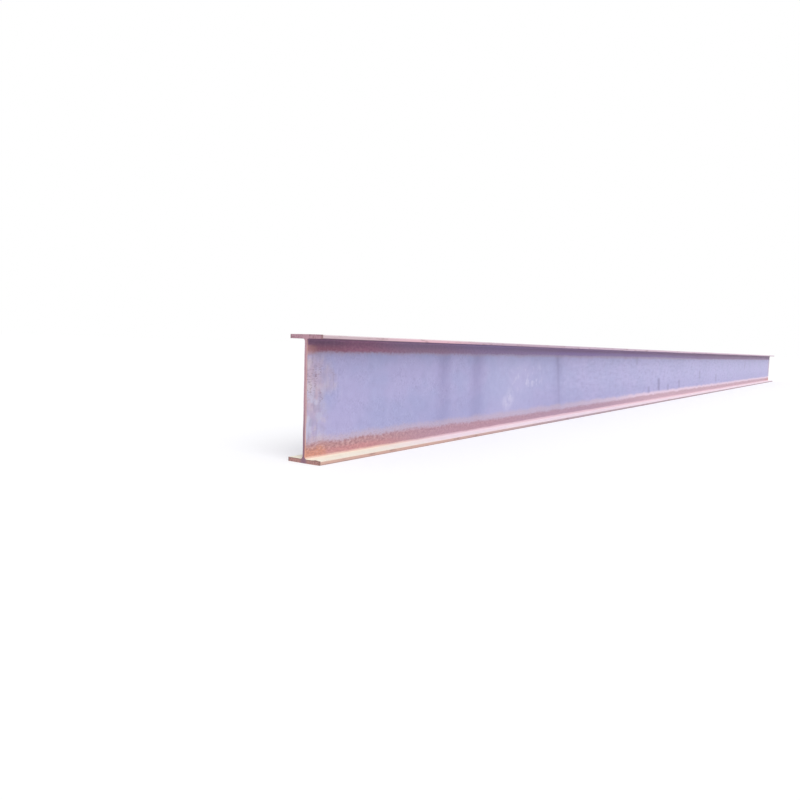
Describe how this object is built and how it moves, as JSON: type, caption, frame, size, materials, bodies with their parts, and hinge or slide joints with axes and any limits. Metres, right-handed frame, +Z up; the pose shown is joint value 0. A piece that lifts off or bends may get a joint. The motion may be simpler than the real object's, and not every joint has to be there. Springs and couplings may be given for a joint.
{
  "type": "steel i-beam",
  "caption": "Hot-rolled steel I-beam with parallel flanges, a thin web and rounded roots, cut square at the ends, for carrying load across a span.",
  "frame": {"origin": "middle of the underside of the bottom flange, halfway along the beam", "axes": "+X along the beam, +Y across the flanges, +Z up the web"},
  "size_m": [12, 0.1538, 0.458],
  "materials": {
    "rolled_steel": "as-rolled blue-grey mill scale, dull, with rust along the roots, toes and cut ends"
  },
  "bodies": {
    "root": {"i_beam": "rolled_steel"}
  },
  "joints": []
}
